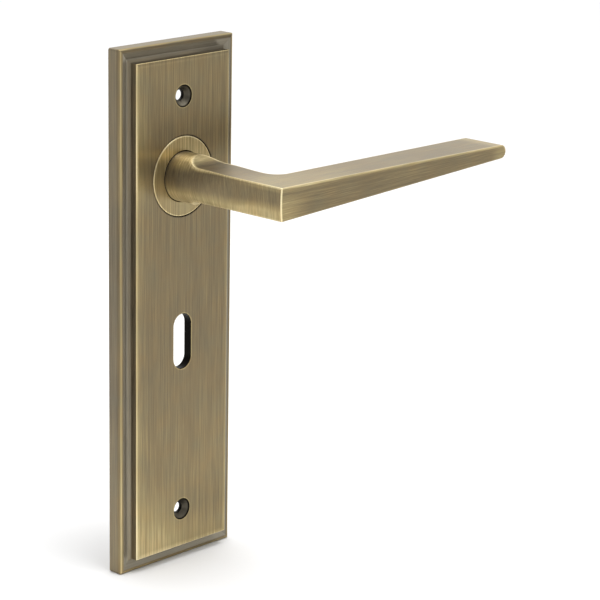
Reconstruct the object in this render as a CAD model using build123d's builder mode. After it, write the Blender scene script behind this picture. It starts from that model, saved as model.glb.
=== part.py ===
from build123d import *

import os
from math import asin, atan, cos, degrees, radians, sin, sqrt

# A sprung lever handle on a stepped lock backplate, for one side of a door.
# Millimetres. The door's face is the plane Y = 0 and the room is on the -Y side. The origin is
# where the spindle's axis meets the door. A depth is a distance out from the door, along -Y.

# Clearances, on the radius for round parts
running_fit = 0.05  # the lever's tail in what it carries and turns in
close_fit = 0.02  # pins and screws in their holes, and parts stacked against each other
assembly_gap = 0.2  # where a part only has to pass another

# Backplate
plate_width = 52.0
plate_height = 180.0
plate_top = 44.8  # from the spindle's axis up to the plate's top edge
plate_corner_r = 0.8
rim_depth = 5.4
rim_round = 1.1
rim_flat = 1.4  # from the plate's side in to where the sloping band starts
band_fall = 0.85
cove_r = 1.3
panel_margin = 4.85
panel_depth = 8.25
panel_round = 0.35
wall = 2.55  # the plate is hollow behind
boss_wall = 3.25  # and thicker around its screw holes and keyhole
rim_pocket_depth = 2.6
panel_pocket_margin = 7.2
pocket_corner_r = 2.0

# Fixing holes and keyhole
fixing_spacing = 144.0
fixing_top = 27.0
fixing_r = 1.8
fixing_head_r = 3.7
fixing_boss_r = 6.0
keyhole_drop = 57.0  # spindle to keyhole centres
keyhole_width = 8.0
keyhole_height = 19.2
keyhole_break = 0.2
keyhole_border = 2.6

# Bearing ring, set flush in the panel and clamped by a nut behind it
ring_r = 13.6
ring_gap = 0.25
ring_round = 0.4
ring_flange = 1.25
ring_recess_r = 8.65
ring_recess = 1.0
spigot_r = 9.5
spigot_end = 3.9
bush_bore_r = 7.05
bush_r = 8.18
bush_seat_r = 8.2
nut_r = 11.6
nut_slot = 2.4
nut_chamfer = 0.15
bush_chamfer = 0.2
washer_inset = 0.1  # the thrust washer is this much smaller than the neck
rear_washer_thickness = 0.3

# Spring housing
housing_size = 37.2
housing_chamfer = 2.5
housing_floor = 0.8
well_r = 16.4
cover_back = 0.05
cover_front = 0.85
cover_hole_r = 7.5
cover_screw_pitch = 30.4
cover_screw_r = 1.0
cover_screw_head_r = 1.85
cover_screw_length = 4.25
screw_cross = 2.2
screw_cross_width = 0.45
screw_cross_depth = 0.5
window_r = 14.6
window_width = 2.8
window_angle = 52.0

# Return spring
wire_r = 0.55
leg_r = 0.54
coil_r = 14.9
coil_front = 4.3
coil_back = 1.45
fixed_leg_end_r = 17.4
moving_leg_end_r = 11.0
moving_leg_x = -1.2
leg_slot_length = 2.4

# Drive plate and its stops
lever_travel = 50.0
drive_front = 3.05
drive_back = 2.05
drive_r = 9.6
lug_r = 12.6
lug_half_width = 3.8
tab_half_width = 0.6
tab_inner_r = 10.6
tab_back = 1.0
disc_spring_rise = 0.25
disc_spring_thickness = 0.2
stop_circle_r = 11.3
stop_pin_r = 0.8
buffer_r = 1.45
buffer_round = 0.25
stop_pin_chamfer = 0.2
stop_gap = 0.1

# Lever
lever_lift = 0.72  # degrees that the arm rises above level
journal_r = 7.0
tail_end = 0.05
tail_flat = 5.5
tail_flat_end = 3.35
neck_r = 8.4
neck_start = 7.95
neck_flat = 5.7
flat_start = 22.0
flat_run_out_r = 9.7
neck_round_end = 24.0
neck_square_start = 38.0
neck_sections = 6
elbow_half_width = 6.5
elbow_bulge = 0.3
lever_front = 59.55
arm_back_at_neck = 44.8
arm_back_at_tip = 42.6
arm_half_height = 5.55  # at the elbow's outer edge
arm_slope = 0.0286  # the arm's top falls and its underside rises by this, towards the tip
arm_end = 106.5
elbow_inside_r = 5.0
edge_r = 0.35
socket_size = 8.1
socket_depth = 38.0
groove_r = 6.5
clip_front = 1.7
clip_back = 0.9
clip_width = 1.9
clip_opening = 1.2
clip_ear_x = 1.7
clip_ear_drop = 8.1  # from the axis down to the ears
clip_ear_r = 1.35
clip_hole_r = 0.55
retaining_washer_r = 9.4

# Spindle
spindle_size = 8.0
spindle_front = 37.5
spindle_back = -18.5
spindle_chamfer = 0.6

plate_centre = plate_top - plate_height / 2
arm_x = Vector(cos(radians(lever_lift)), 0, sin(radians(lever_lift)))
lever_up = Vector(-sin(radians(lever_lift)), 0, cos(radians(lever_lift)))
towards_room = Vector(0, -1, 0)


def at(depth):
    """A plane facing the room at this depth: its x is +X and its y is +Z."""
    return Plane(origin=(0, -depth, 0), x_dir=(1, 0, 0), z_dir=towards_room)


def lever_at(depth):
    """The same plane, turned with the lever's small lift."""
    return Plane(origin=(0, -depth, 0), x_dir=arm_x, z_dir=towards_room)


def tube(outer_r, inner_r, back, front, mode=Mode.ADD):
    """Adds a ring about the spindle's axis to the part in hand."""
    with BuildSketch(at(back)) as section:
        Circle(outer_r)
        if inner_r:
            Circle(inner_r, mode=Mode.SUBTRACT)
    extrude(section.sketch, amount=front - back, mode=mode)


def turn(profile):
    """Adds a closed outline of (radius, depth) points, turned about the spindle's axis."""
    with BuildSketch(Plane.XY) as section:
        with BuildLine():
            Polyline([(radius, -depth) for radius, depth in profile], close=True)
        make_face()
    revolve(section.sketch, axis=Axis.Y)


def save(builder, name):
    builder.part.label = name
    export_step(builder.part, f"parts/{name}.step")


os.makedirs("parts", exist_ok=True)

# ---------------------------------------------------------------- backplate
band_foot = rim_depth - band_fall

with BuildPart() as face_plate:
    with BuildSketch(at(0)):
        with Locations((0, plate_centre)):
            RectangleRounded(plate_width, plate_height, plate_corner_r)
    extrude(amount=panel_depth)
    # the stepped edge: one moulding cutter, carried round the plate's outline with mitred corners
    plate_bottom = plate_top - plate_height
    side = plate_width / 2
    with BuildLine(Plane.XZ) as outline:
        Polyline(
            (0, plate_top),
            (side, plate_top),
            (side, plate_bottom),
            (-side, plate_bottom),
            (-side, plate_top),
            (0, plate_top),
        )
    # the cutter's section: its x runs in from the plate's edge and its y is the depth
    with BuildSketch(Plane(origin=(0, 0, plate_top), x_dir=(0, 0, -1), z_dir=(-1, 0, 0))):
        with BuildLine():
            RadiusArc((rim_round, rim_depth), (0, rim_depth - rim_round), -rim_round)
            Polyline(
                (0, rim_depth - rim_round),
                (-rim_round, rim_depth - rim_round),
                (-rim_round, panel_depth + rim_round),
                (panel_margin + panel_round, panel_depth + rim_round),
                (panel_margin + panel_round, panel_depth),
            )
            RadiusArc(
                (panel_margin + panel_round, panel_depth),
                (panel_margin, panel_depth - panel_round),
                -panel_round,
            )
            Line((panel_margin, panel_depth - panel_round), (panel_margin, band_foot + cove_r))
            RadiusArc((panel_margin, band_foot + cove_r), (panel_margin - cove_r, band_foot), cove_r)
            Polyline(
                (panel_margin - cove_r, band_foot), (rim_flat, rim_depth), (rim_round, rim_depth)
            )
        make_face()
    sweep(path=outline.wire(), transition=Transition.RIGHT, mode=Mode.SUBTRACT)
    # the hollow behind, in two steps that follow the front
    for margin, depth in ((wall, rim_pocket_depth), (panel_pocket_margin, panel_depth - wall)):
        with BuildSketch(at(0)):
            with Locations((0, plate_centre)):
                RectangleRounded(plate_width - 2 * margin, plate_height - 2 * margin, pocket_corner_r)
        extrude(amount=depth, mode=Mode.SUBTRACT)
    fixing_places = ((0, fixing_top), (0, fixing_top - fixing_spacing))
    with BuildSketch(at(panel_depth - boss_wall)):
        with Locations(*fixing_places):
            Circle(fixing_boss_r)
        with Locations((0, -keyhole_drop)):
            SlotOverall(
                keyhole_height + 2 * keyhole_border, keyhole_width + 2 * keyhole_border, rotation=90
            )
    extrude(amount=boss_wall - wall / 2)
    with Locations(at(panel_depth)):
        CounterBoreHole(spigot_r + assembly_gap, ring_r + ring_gap, ring_flange)
        with Locations(*fixing_places):
            CounterSinkHole(fixing_r, fixing_head_r)
    with BuildSketch(at(panel_depth)):
        with Locations((0, -keyhole_drop)):
            SlotOverall(keyhole_height, keyhole_width, rotation=90)
    extrude(amount=-panel_depth, mode=Mode.SUBTRACT)
    keyhole_rim = face_plate.faces().sort_by(Axis.Y)[0].inner_wires().sort_by(Axis.Z)[1]
    chamfer(keyhole_rim.edges(), keyhole_break)
save(face_plate, "face_plate")

# ---------------------------------------------------------------- bearing
with BuildPart() as bearing_ring:
    turn(
        [
            (ring_recess_r, panel_depth),
            (ring_r, panel_depth),
            (ring_r, panel_depth - ring_flange),
            (spigot_r, panel_depth - ring_flange),
            (spigot_r, spigot_end),
            (bush_seat_r, spigot_end),
            (bush_seat_r, panel_depth - ring_recess),
            (ring_recess_r, panel_depth - ring_recess),
        ]
    )
    rims = bearing_ring.faces().sort_by(Axis.Y)[0].edges().sort_by(SortBy.RADIUS)
    fillet(rims[-1], ring_round)
    fillet(rims[0], ring_round / 2)
save(bearing_ring, "bearing_ring")

with BuildPart() as ring_nut:
    tube(nut_r, spigot_r + close_fit, spigot_end, panel_depth - wall - housing_floor)
    with BuildSketch(at(spigot_end)):
        with PolarLocations(nut_r, 4):
            Rectangle(nut_slot, nut_slot)
    extrude(amount=wall, mode=Mode.SUBTRACT)
    chamfer(ring_nut.edges().filter_by(GeomType.CIRCLE).sort_by(Axis.Y)[-1], nut_chamfer)
save(ring_nut, "ring_nut")

with BuildPart() as bearing_bush:
    tube(bush_r, bush_bore_r, spigot_end, panel_depth - ring_recess)
    chamfer(bearing_bush.edges().filter_by(GeomType.CIRCLE).sort_by(SortBy.RADIUS)[:2], bush_chamfer)
save(bearing_bush, "bearing_bush")

with BuildPart() as thrust_washer:
    tube(
        neck_r - washer_inset,
        journal_r + 2 * running_fit,
        panel_depth - ring_recess,
        neck_start - running_fit,
    )
save(thrust_washer, "thrust_washer")

with BuildPart() as rear_washer:
    rear_washer_front = spigot_end - 2 * close_fit
    tube(
        spigot_r - assembly_gap,
        journal_r + 2 * running_fit,
        rear_washer_front - rear_washer_thickness,
        rear_washer_front,
    )
save(rear_washer, "rear_washer")

# ---------------------------------------------------------------- spring housing
housing_front = panel_depth - wall

with BuildPart() as spring_housing:
    with BuildSketch(at(cover_front)) as housing_outline:
        Rectangle(housing_size, housing_size)
        chamfer(housing_outline.vertices(), housing_chamfer)
    extrude(amount=housing_front - cover_front)
    tube(well_r, 0, cover_front, housing_front - housing_floor, mode=Mode.SUBTRACT)
    tube(spigot_r + assembly_gap, 0, cover_front, housing_front, mode=Mode.SUBTRACT)
    with BuildSketch(at(cover_front)):
        with Locations((0, fixed_leg_end_r - leg_slot_length / 2 + assembly_gap)):
            Rectangle(2 * leg_r + 2 * assembly_gap, leg_slot_length)
        with GridLocations(cover_screw_pitch, cover_screw_pitch, 2, 2):
            Circle(cover_screw_r + close_fit)
    extrude(amount=housing_front - housing_floor - cover_front, mode=Mode.SUBTRACT)
save(spring_housing, "spring_housing")

stop_offset = lug_half_width + buffer_r + stop_gap
stop_height = sqrt(stop_circle_r**2 - stop_offset**2)
rest_stop = (-stop_offset, stop_height)
travel = radians(lever_travel)
limit_stop = (
    stop_offset * cos(travel) + stop_height * sin(travel),
    stop_height * cos(travel) - stop_offset * sin(travel),
)

with BuildPart() as housing_cover:
    with BuildSketch(at(cover_back)) as cover_outline:
        Rectangle(housing_size, housing_size)
        chamfer(cover_outline.vertices(), housing_chamfer)
        Circle(cover_hole_r, mode=Mode.SUBTRACT)
        for quarter in range(4):
            middle_line = CenterArc(
                (0, 0), window_r, 90 * quarter - window_angle / 2, window_angle, mode=Mode.PRIVATE
            )
            SlotArc(middle_line, window_width, mode=Mode.SUBTRACT)
        with Locations(rest_stop, limit_stop):
            Circle(stop_pin_r + close_fit, mode=Mode.SUBTRACT)
    extrude(amount=cover_front - cover_back)
    with BuildSketch(at(cover_back)):
        with GridLocations(cover_screw_pitch, cover_screw_pitch, 2, 2):
            Circle(cover_screw_head_r + running_fit)
    extrude(amount=cover_front - cover_back, taper=45, mode=Mode.SUBTRACT)
save(housing_cover, "housing_cover")

with BuildPart() as cover_screws:
    head_back = cover_back + running_fit
    head_height = cover_front - cover_back - 2 * running_fit
    with BuildSketch(at(head_back)):
        with GridLocations(cover_screw_pitch, cover_screw_pitch, 2, 2):
            Circle(cover_screw_head_r)
    extrude(amount=head_height, taper=45)
    with BuildSketch(at(head_back + head_height / 2)):
        with GridLocations(cover_screw_pitch, cover_screw_pitch, 2, 2):
            Circle(cover_screw_r)
    extrude(amount=cover_screw_length - head_height / 2)
    with BuildSketch(at(cover_back)):
        with GridLocations(cover_screw_pitch, cover_screw_pitch, 2, 2):
            Rectangle(screw_cross, screw_cross_width)
            Rectangle(screw_cross_width, screw_cross)
    extrude(amount=screw_cross_depth, mode=Mode.SUBTRACT)
save(cover_screws, "cover_screws")

for name, place in (("rest_stop", rest_stop), ("limit_stop", limit_stop)):
    with BuildPart() as stop_pin:
        with BuildSketch(at(cover_back + running_fit)):
            with Locations(place):
                Circle(stop_pin_r)
        extrude(amount=drive_front + assembly_gap - cover_back)
        chamfer(stop_pin.faces().sort_by(Axis.Y)[0].edges(), stop_pin_chamfer)
    save(stop_pin, f"{name}_pin")

    with BuildPart() as stop_buffer:
        with BuildSketch(at(cover_front + 2 * running_fit)):
            with Locations(place):
                Circle(buffer_r)
                Circle(stop_pin_r + close_fit, mode=Mode.SUBTRACT)
        extrude(amount=drive_front - cover_front)
        fillet(stop_buffer.edges().filter_by(GeomType.CIRCLE).sort_by(SortBy.RADIUS)[-2:], buffer_round)
    save(stop_buffer, f"{name}_buffer")

# ---------------------------------------------------------------- return spring
moving_leg_start = sqrt(coil_r**2 - moving_leg_x**2)
coil_turns = 1.5 + degrees(asin(-moving_leg_x / coil_r)) / 360
coil_length = coil_front - coil_back

with BuildPart() as return_spring:
    with BuildLine():
        coil = Helix(
            coil_length / coil_turns, coil_length, coil_r, center=(0, -coil_front, 0), direction=(0, 1, 0)
        )
    with BuildSketch(Plane(origin=coil @ 0, z_dir=coil % 0)):
        Circle(wire_r)
    sweep(path=coil)
    # the fixed leg turns out into the housing's wall, and the moving leg turns in to the plate's tab
    for end, length in ((coil @ 0, fixed_leg_end_r - coil_r), (coil @ 1, moving_leg_start - moving_leg_end_r)):
        with BuildSketch(Plane(origin=end, z_dir=(0, 0, 1))):
            Circle(leg_r)
        extrude(amount=length)
save(return_spring, "return_spring")

# ---------------------------------------------------------------- parts on the lever's tail
with BuildPart() as drive_plate:
    with BuildSketch(at(drive_back)):
        Circle(lug_r)
        Rectangle(2 * lug_half_width, 2 * lug_r, mode=Mode.INTERSECT)
        Circle(drive_r)
    extrude(amount=drive_front - drive_back)
    with BuildSketch(at(drive_back)):
        Circle(journal_r + close_fit)
        Rectangle(3 * journal_r, 2 * (tail_flat + close_fit), mode=Mode.INTERSECT)
    extrude(amount=drive_front - drive_back, mode=Mode.SUBTRACT)
    with BuildSketch(at(tab_back)):
        with Locations((0, -(lug_r + tab_inner_r) / 2)):
            Rectangle(2 * tab_half_width, lug_r - tab_inner_r)
    extrude(amount=drive_front - tab_back)
save(drive_plate, "drive_plate")

disc_spring_back = drive_front + close_fit
disc_spring_front = disc_spring_back + disc_spring_rise + disc_spring_thickness

with BuildPart() as disc_spring:
    turn(
        [
            (journal_r + assembly_gap, disc_spring_back),
            (spigot_r - 2 * assembly_gap, disc_spring_back + disc_spring_rise),
            (spigot_r - 2 * assembly_gap, disc_spring_front),
            (journal_r + assembly_gap, disc_spring_back + disc_spring_thickness),
        ]
    )
save(disc_spring, "disc_spring")

with BuildPart() as retaining_washer:
    tube(retaining_washer_r, journal_r + running_fit, clip_front + close_fit, drive_back - close_fit)
save(retaining_washer, "retaining_washer")

with BuildPart() as lever_circlip:
    with BuildSketch(at(clip_back)):
        Circle(groove_r + clip_width)
        with Locations((-clip_ear_x, -clip_ear_drop), (clip_ear_x, -clip_ear_drop)):
            Circle(clip_ear_r)
        Circle(groove_r + running_fit, mode=Mode.SUBTRACT)
        with Locations((0, -groove_r)):
            Rectangle(clip_opening, 2 * groove_r, mode=Mode.SUBTRACT)
        with Locations((-clip_ear_x, -clip_ear_drop), (clip_ear_x, -clip_ear_drop)):
            Circle(clip_hole_r, mode=Mode.SUBTRACT)
    extrude(amount=clip_front - clip_back)
save(lever_circlip, "lever_circlip")

# ---------------------------------------------------------------- lever
def arm_half_height_at(x):
    """Half the arm's height where its sloping top passes this distance from the spindle."""
    return arm_half_height - arm_slope * (x + elbow_half_width)


def on_lever(x, depth, z):
    """A point given along the arm, out from the door and up, turned with the lever's lift."""
    return arm_x * x + towards_room * depth + lever_up * z


def neck_section(depth, left_height, right_height, half_width, bulge):
    """A section of the neck at this depth: flat above and below, and bowed at its sides."""
    with BuildSketch(lever_at(depth)) as section:
        with BuildLine():
            Line((-half_width, left_height), (half_width, right_height))
            ThreePointArc(
                (half_width, right_height), (half_width + bulge, 0), (half_width, -right_height)
            )
            Line((half_width, -right_height), (-half_width, -left_height))
            ThreePointArc(
                (-half_width, -left_height), (-half_width - bulge, 0), (-half_width, left_height)
            )
        make_face()
    return section.sketch


round_half_width = sqrt(neck_r**2 - neck_flat**2)
elbow_left = arm_half_height_at(-elbow_half_width)
elbow_right = arm_half_height_at(elbow_half_width)
# the tip is half round, and meets the sloping top and underside without a corner
slope_angle = atan(arm_slope)
tip_r = arm_half_height_at(arm_end) * cos(slope_angle) / (1 - sin(slope_angle))
tip_centre = arm_end - tip_r
tip_top = (tip_centre + tip_r * sin(slope_angle), tip_r * cos(slope_angle))
tip_under = (tip_top[0], -tip_top[1])
run_out_end = flat_start - sqrt(flat_run_out_r**2 - (flat_run_out_r - neck_r + neck_flat) ** 2)

with BuildPart() as lever_handle:
    # the arm: its outline from above, cut to its outline from the front
    with BuildSketch(Plane(origin=(0, 0, 0), x_dir=arm_x, z_dir=lever_up)):
        with BuildLine():
            Polyline(
                (0, -lever_front),
                (arm_end, -lever_front),
                (arm_end, -arm_back_at_tip),
                (0, -arm_back_at_neck),
                close=True,
            )
        make_face()
    extrude(amount=neck_r, both=True)
    with BuildSketch(lever_at(0)):
        with BuildLine():
            Line((0, -arm_half_height_at(0)), (0, arm_half_height_at(0)))
            Line((0, arm_half_height_at(0)), tip_top)
            ThreePointArc(tip_top, (arm_end, 0), tip_under)
            Line(tip_under, (0, -arm_half_height_at(0)))
        make_face()
    extrude(amount=2 * lever_front, mode=Mode.INTERSECT)
    # the neck's round root, cut flat above and below, each cut running out in a curve
    tube(neck_r, 0, neck_start, neck_round_end)
    with BuildSketch(Plane(origin=(0, 0, 0), x_dir=(0, 1, 0), z_dir=arm_x)) as flat_cut:
        with BuildLine():
            RadiusArc((-run_out_end, neck_r), (-flat_start, neck_flat), flat_run_out_r)
            Polyline(
                (-flat_start, neck_flat),
                (-neck_round_end, neck_flat),
                (-neck_round_end, neck_r + 1),
                (-run_out_end, neck_r + 1),
                (-run_out_end, neck_r),
            )
        make_face()
        mirror(about=Plane.XZ)
    extrude(amount=neck_r, both=True, mode=Mode.SUBTRACT)
    # the neck's sides flatten towards the elbow, easing in and out of the change
    sections = []
    for step in range(neck_sections + 1):
        along = step / neck_sections
        ease = along * along * (3 - 2 * along)
        sections.append(
            neck_section(
                neck_round_end + along * (neck_square_start - neck_round_end),
                neck_flat + ease * (elbow_left - neck_flat),
                neck_flat + ease * (elbow_right - neck_flat),
                round_half_width + ease * (elbow_half_width - round_half_width),
                neck_r - round_half_width + ease * (elbow_bulge - neck_r + round_half_width),
            )
        )
    loft(sections)
    extrude(sections[-1], amount=lever_front - neck_square_start)
    inside_corner = on_lever(elbow_half_width + elbow_bulge, arm_back_at_neck, 0)
    fillet(lever_handle.edges().sort_by_distance(inside_corner)[0], elbow_inside_r)
    # every other edge of the arm and neck is broken by a small round
    on_edges = [on_lever(-elbow_half_width - elbow_bulge, lever_front, 0)]
    for half in (1, -1):
        on_edges.append(on_lever(arm_end / 2, lever_front, half * arm_half_height_at(arm_end / 2)))
        on_edges.append(on_lever(-elbow_half_width, arm_back_at_neck, half * elbow_left))
    fillet([lever_handle.edges().sort_by_distance(point)[0] for point in on_edges], edge_r)
    fillet(lever_handle.edges().filter_by(GeomType.CIRCLE).sort_by(Axis.Y)[-1], edge_r)
    # the tail: a round journal, two flats that drive the plate, a groove for the clip
    tube(journal_r, 0, tail_end, neck_start)
    with BuildSketch(at(tail_end)):
        Circle(neck_r)
        Rectangle(2 * neck_r, 2 * tail_flat, mode=Mode.SUBTRACT)
    extrude(amount=tail_flat_end - tail_end, mode=Mode.SUBTRACT)
    tube(neck_r, groove_r, clip_back - close_fit, clip_front + close_fit, mode=Mode.SUBTRACT)
    with BuildSketch(at(tail_end)):
        Rectangle(socket_size, socket_size)
    extrude(amount=socket_depth - tail_end, mode=Mode.SUBTRACT)
save(lever_handle, "lever_handle")

# ---------------------------------------------------------------- spindle
with BuildPart() as spindle:
    with BuildSketch(at(spindle_back)):
        Rectangle(spindle_size, spindle_size)
    extrude(amount=spindle_front - spindle_back)
    ends = spindle.faces().filter_by(Axis.Y)
    chamfer(ends.edges(), spindle_chamfer)
save(spindle, "spindle")
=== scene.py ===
"""A sprung lever handle on a stepped lock backplate, in antique brass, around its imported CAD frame."""
from math import atan2, cos, pi, radians, sin, sqrt

import bmesh
import bpy
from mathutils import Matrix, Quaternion, Vector


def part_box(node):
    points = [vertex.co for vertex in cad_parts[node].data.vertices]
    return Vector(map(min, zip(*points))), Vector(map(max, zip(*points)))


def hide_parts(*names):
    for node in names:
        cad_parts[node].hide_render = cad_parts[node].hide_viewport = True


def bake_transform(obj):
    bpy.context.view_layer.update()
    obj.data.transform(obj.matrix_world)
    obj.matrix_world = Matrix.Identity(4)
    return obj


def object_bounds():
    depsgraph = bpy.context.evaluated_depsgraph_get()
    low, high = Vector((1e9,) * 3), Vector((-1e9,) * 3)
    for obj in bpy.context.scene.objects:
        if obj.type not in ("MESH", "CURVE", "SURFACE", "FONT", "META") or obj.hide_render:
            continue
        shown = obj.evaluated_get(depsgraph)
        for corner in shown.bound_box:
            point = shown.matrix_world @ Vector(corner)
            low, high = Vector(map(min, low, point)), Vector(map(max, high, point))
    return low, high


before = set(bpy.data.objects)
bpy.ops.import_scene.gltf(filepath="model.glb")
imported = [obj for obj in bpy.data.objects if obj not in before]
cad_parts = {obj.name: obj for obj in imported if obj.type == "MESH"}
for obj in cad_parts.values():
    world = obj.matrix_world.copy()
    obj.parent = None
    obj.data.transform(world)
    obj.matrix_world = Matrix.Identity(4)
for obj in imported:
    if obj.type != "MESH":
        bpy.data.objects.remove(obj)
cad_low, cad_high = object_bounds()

# Meshes and places are in metres. Inside the materials lengths are millimetres: MM joins the two.
MM = 0.001


# ---------------------------------------------------------------- shader graphs
class Graph:
    """A node tree in the making, with short calls for its nodes."""

    def __init__(self, tree):
        self.tree = tree

    def add(self, kind, **settings):
        node = self.tree.nodes.new(kind)
        for key, value in settings.items():
            setattr(node, key, value)
        return node

    def wire(self, value, socket):
        """Links a socket to another, or sets it to a plain value."""
        if isinstance(value, bpy.types.NodeSocket):
            self.tree.links.new(value, socket)
        else:
            socket.default_value = value

    def do(self, operation, *values):
        node = self.add("ShaderNodeMath", operation=operation)
        for value, socket in zip(values, node.inputs):
            self.wire(value, socket)
        return node.outputs[0]

    def plus(self, *values):
        total = values[0]
        for value in values[1:]:
            total = self.do("ADD", total, value)
        return total

    def minus(self, a, b):
        return self.do("SUBTRACT", a, b)

    def times(self, *values):
        total = values[0]
        for value in values[1:]:
            total = self.do("MULTIPLY", total, value)
        return total

    def marked(self, base, *marks):
        """A base value moved by marks, each a value either side of 0 and how much it counts."""
        return self.plus(base, *[self.times(value, amount) for value, amount in marks])

    def size(self, a):
        return self.do("ABSOLUTE", a)

    def most(self, a, b):
        return self.do("MAXIMUM", a, b)

    def least(self, a, b):
        return self.do("MINIMUM", a, b)

    def radius(self, a, b):
        return self.do("SQRT", self.plus(self.times(a, a), self.times(b, b)))

    def fade(self, value, start, end):
        """0 before start, 1 after end, and smooth between. Start may be the larger."""
        node = self.add("ShaderNodeMapRange", interpolation_type="SMOOTHSTEP")
        for given, socket in zip((value, start, end), node.inputs):
            self.wire(given, socket)
        return node.outputs[0]

    def mix(self, share, a, b):
        """a at share 0 and b at share 1."""
        return self.plus(a, self.times(share, self.minus(b, a)))

    def join(self, operation, a, b):
        node = self.add("ShaderNodeVectorMath", operation=operation)
        self.wire(a, node.inputs[0])
        self.wire(b, node.inputs["Scale"] if operation == "SCALE" else node.inputs[1])
        return node.outputs[0]

    def vector(self, x, y, z):
        node = self.add("ShaderNodeCombineXYZ")
        for value, socket in zip((x, y, z), node.inputs):
            self.wire(value, socket)
        return node.outputs[0]

    def apart(self, vector):
        node = self.add("ShaderNodeSeparateXYZ")
        self.wire(vector, node.inputs[0])
        return node.outputs["X"], node.outputs["Y"], node.outputs["Z"]

    def noise(self, x, y, z, detail=2.0, roughness=0.5):
        node = self.add("ShaderNodeTexNoise")
        self.wire(self.vector(x, y, z), node.inputs["Vector"])
        self.wire(1.0, node.inputs["Scale"])
        self.wire(detail, node.inputs["Detail"])
        self.wire(roughness, node.inputs["Roughness"])
        return self.minus(node.outputs[0], 0.5)

    def steps(self, value, stops):
        """A value or colour read from (position, value) stops."""
        node = self.add("ShaderNodeValToRGB")
        low, high = stops[0][0], stops[-1][0]
        self.wire(self.times(self.minus(value, low), 1 / (high - low)), node.inputs[0])
        elements = node.color_ramp.elements
        for position, _ in stops[1:-1]:
            elements.new((position - low) / (high - low))
        for element, (_, shade) in zip(elements, stops):
            element.color = (*shade, 1) if hasattr(shade, "__len__") else (shade, shade, shade, 1)
        return node.outputs[0]


# ---------------------------------------------------------------- camera and light
CAMERA_AZIMUTH = -47.086
CAMERA_ELEVATION = 15.391
CAMERA_ROLL = 1.01
CAMERA_TARGET = Vector((0.02260, -0.04103, -0.04029))
CAMERA_DISTANCE = 0.85
CAMERA_LENS = 152.92
CAMERA_SENSOR = 36.0
CAMERA_CLIP = (0.01, 50)

# the light of the white tent, of the opening in its front, and what its back adds on either side
TENT_LIGHT, OPENING_LIGHT, BEHIND_RIGHT_LIGHT, BEHIND_LEFT_LIGHT = 1.15, 0.55, 0.45, -0.5
# where those parts begin and where they are full, as x, y and z of the direction out from the object
OPENING_Y, OPENING_FOOT, OPENING_HEAD = (0.1, -0.6), (-0.2, 0.1), (0.75, 0.45)
BEHIND_Y, BEHIND_RIGHT_X, BEHIND_LEFT_X, BEHIND_LEFT_Z = (0.2, 0.5), (0.1, 0.5), (-0.25, -0.5), (0.0, 0.12)

FLOOR_RADIUS, FLOOR_SIDES = 6.0, 96
FLOOR_SHADE, FLOOR_ROUGHNESS = (0.92, 0.92, 0.92, 1), 0.9


def aim(obj, place, target, roll=0.0):
    """Puts a camera or light at a place, looking at a target."""
    turn = (target - place).to_track_quat("-Z", "Y")
    obj.location = place
    obj.rotation_mode = "QUATERNION"
    obj.rotation_quaternion = turn @ Quaternion((0, 0, 1), radians(roll))


def towards(azimuth, elevation):
    """The unit vector from the object to a viewer at this azimuth and elevation."""
    a, e = radians(azimuth), radians(elevation)
    return Vector((sin(a) * cos(e), -cos(a) * cos(e), sin(e)))


def make_camera():
    data = bpy.data.cameras.new("camera")
    data.lens = CAMERA_LENS
    data.sensor_width = CAMERA_SENSOR
    data.dof.use_dof = False
    data.clip_start, data.clip_end = CAMERA_CLIP
    camera = bpy.data.objects.new("camera", data)
    bpy.context.scene.collection.objects.link(camera)
    place = CAMERA_TARGET + towards(CAMERA_AZIMUTH, CAMERA_ELEVATION) * CAMERA_DISTANCE
    aim(camera, place, CAMERA_TARGET, CAMERA_ROLL)
    bpy.context.scene.camera = camera


def make_light(name, azimuth, elevation, distance, size, power):
    data = bpy.data.lights.new(name, "AREA")
    data.shape = "DISK"
    data.size = size
    data.energy = power
    light = bpy.data.objects.new(name, data)
    bpy.context.scene.collection.objects.link(light)
    aim(light, CAMERA_TARGET + towards(azimuth, elevation) * distance, CAMERA_TARGET)


def make_studio():
    world = bpy.data.worlds.new("studio")
    world.use_nodes = True
    g = Graph(world.node_tree)
    x, y, z = g.apart(g.add("ShaderNodeTexCoord").outputs["Generated"])
    # a white tent, brighter behind on the right, dimmer behind on the left, and dimmest in a band
    # in front of the object, where the room shows through its opening
    opening = g.times(g.fade(y, *OPENING_Y), g.fade(z, *OPENING_FOOT), g.fade(z, *OPENING_HEAD))
    background = world.node_tree.nodes["Background"]
    background.inputs["Color"].default_value = (1, 1, 1, 1)
    right = g.times(g.fade(x, *BEHIND_RIGHT_X), g.fade(y, *BEHIND_Y))
    left = g.times(g.fade(x, *BEHIND_LEFT_X), g.fade(y, *BEHIND_Y), g.fade(z, *BEHIND_LEFT_Z))
    light = g.plus(TENT_LIGHT, g.times(right, BEHIND_RIGHT_LIGHT), g.times(left, BEHIND_LEFT_LIGHT))
    g.wire(g.mix(opening, light, OPENING_LIGHT), background.inputs["Strength"])
    bpy.context.scene.world = world
    bpy.context.scene.view_settings.view_transform = "Standard"

    sheet = bmesh.new()
    bmesh.ops.create_circle(sheet, cap_ends=True, segments=FLOOR_SIDES, radius=FLOOR_RADIUS)
    mesh = bpy.data.meshes.new("floor")
    sheet.to_mesh(mesh)
    sheet.free()
    floor = bpy.data.objects.new("floor", mesh)
    floor.location = (0, 0, cad_low.z)
    bpy.context.scene.collection.objects.link(floor)
    paint = bpy.data.materials.new("floor_white")
    paint.use_nodes = True
    shader = paint.node_tree.nodes["Principled BSDF"]
    shader.inputs["Base Color"].default_value = FLOOR_SHADE
    shader.inputs["Roughness"].default_value = FLOOR_ROUGHNESS
    mesh.materials.append(paint)


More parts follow.
